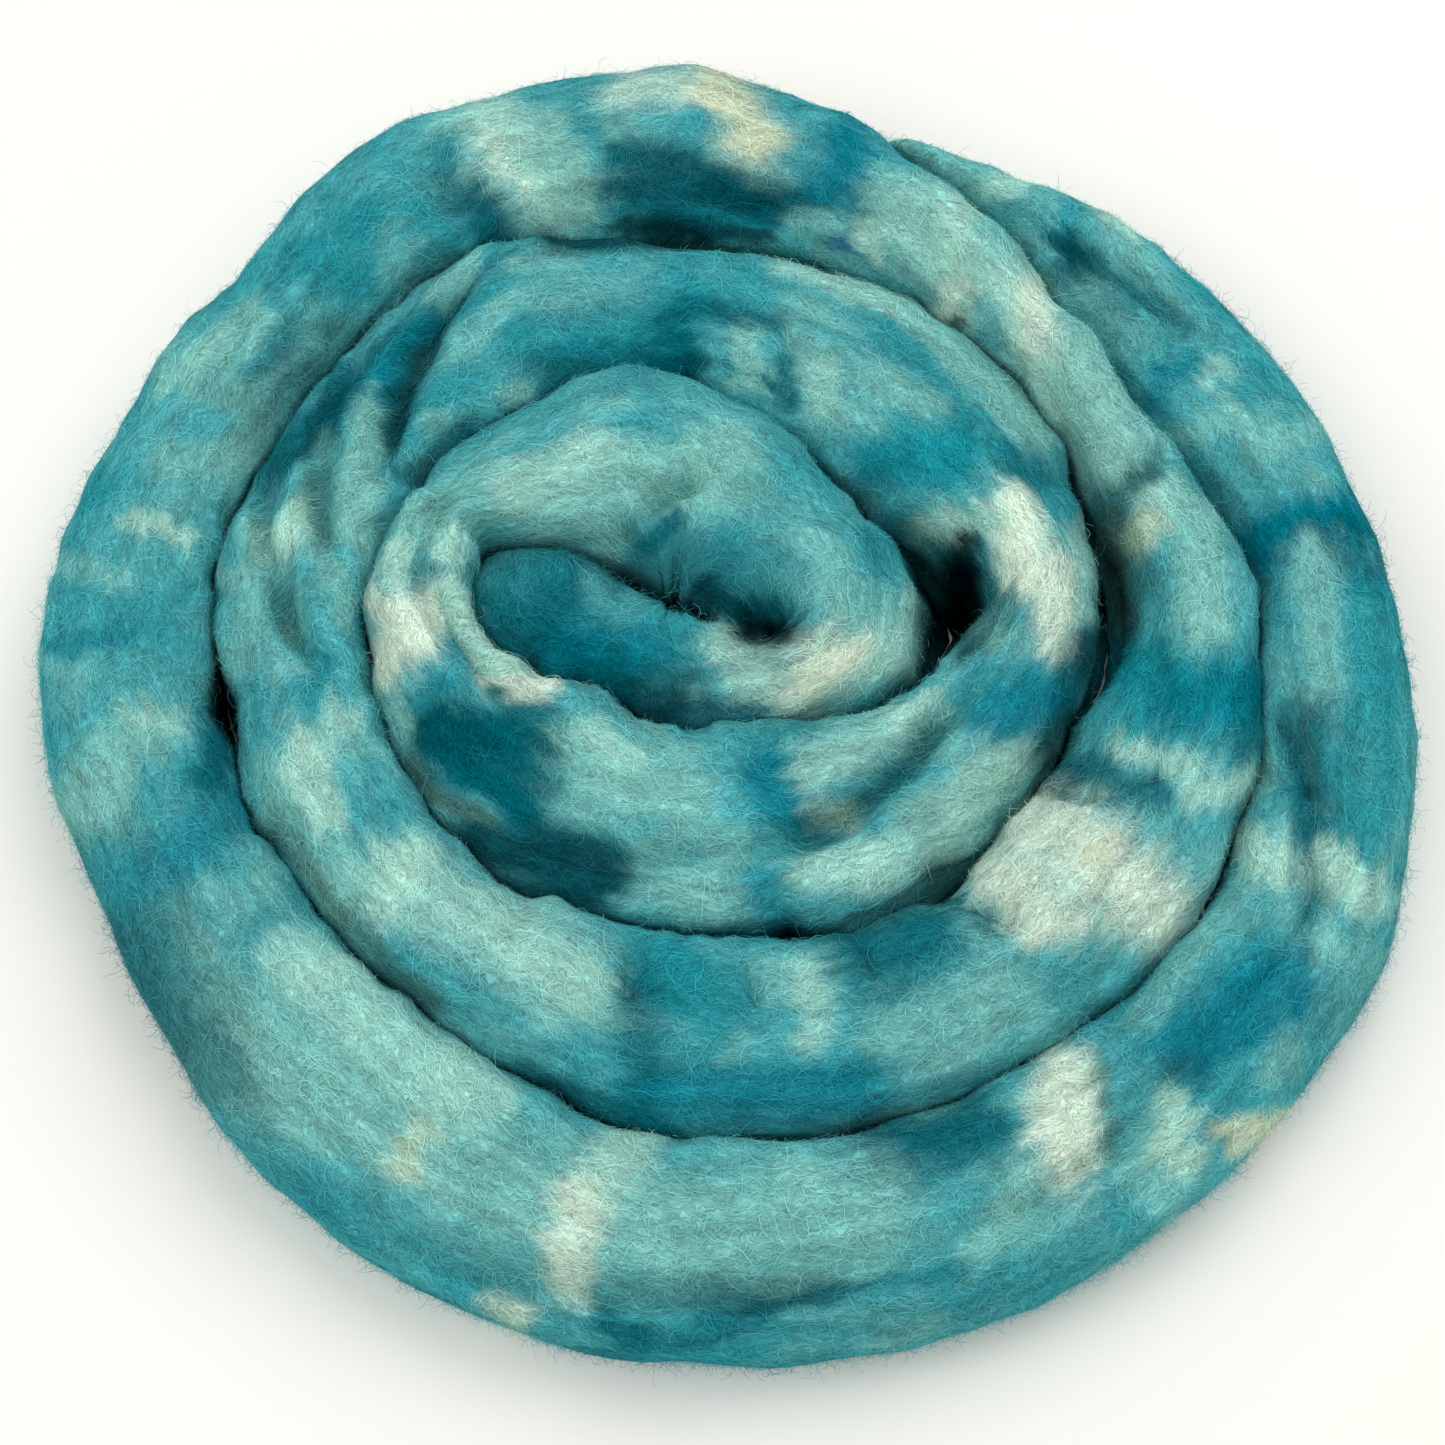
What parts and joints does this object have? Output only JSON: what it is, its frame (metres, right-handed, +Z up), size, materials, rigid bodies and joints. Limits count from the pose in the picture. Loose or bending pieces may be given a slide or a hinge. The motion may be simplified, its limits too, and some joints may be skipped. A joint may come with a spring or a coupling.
{
  "type": "wool combed top",
  "caption": "Thick soft strand of dyed combed wool for spinning or felting, wound flat into a round coil that lies on its underside.",
  "frame": {"origin": "middle of the coil's flat underside", "axes": "+Z up, away from the surface it lies on; +Y towards twelve o'clock, the side where the outer end is tucked in; +X towards three o'clock"},
  "size_m": [0.3534, 0.364, 0.0457],
  "materials": {
    "combed_top": "matt combed wool, dyed in teal, mint and cream patches"
  },
  "bodies": {
    "root": {"combed_top": "combed_top"}
  },
  "joints": []
}
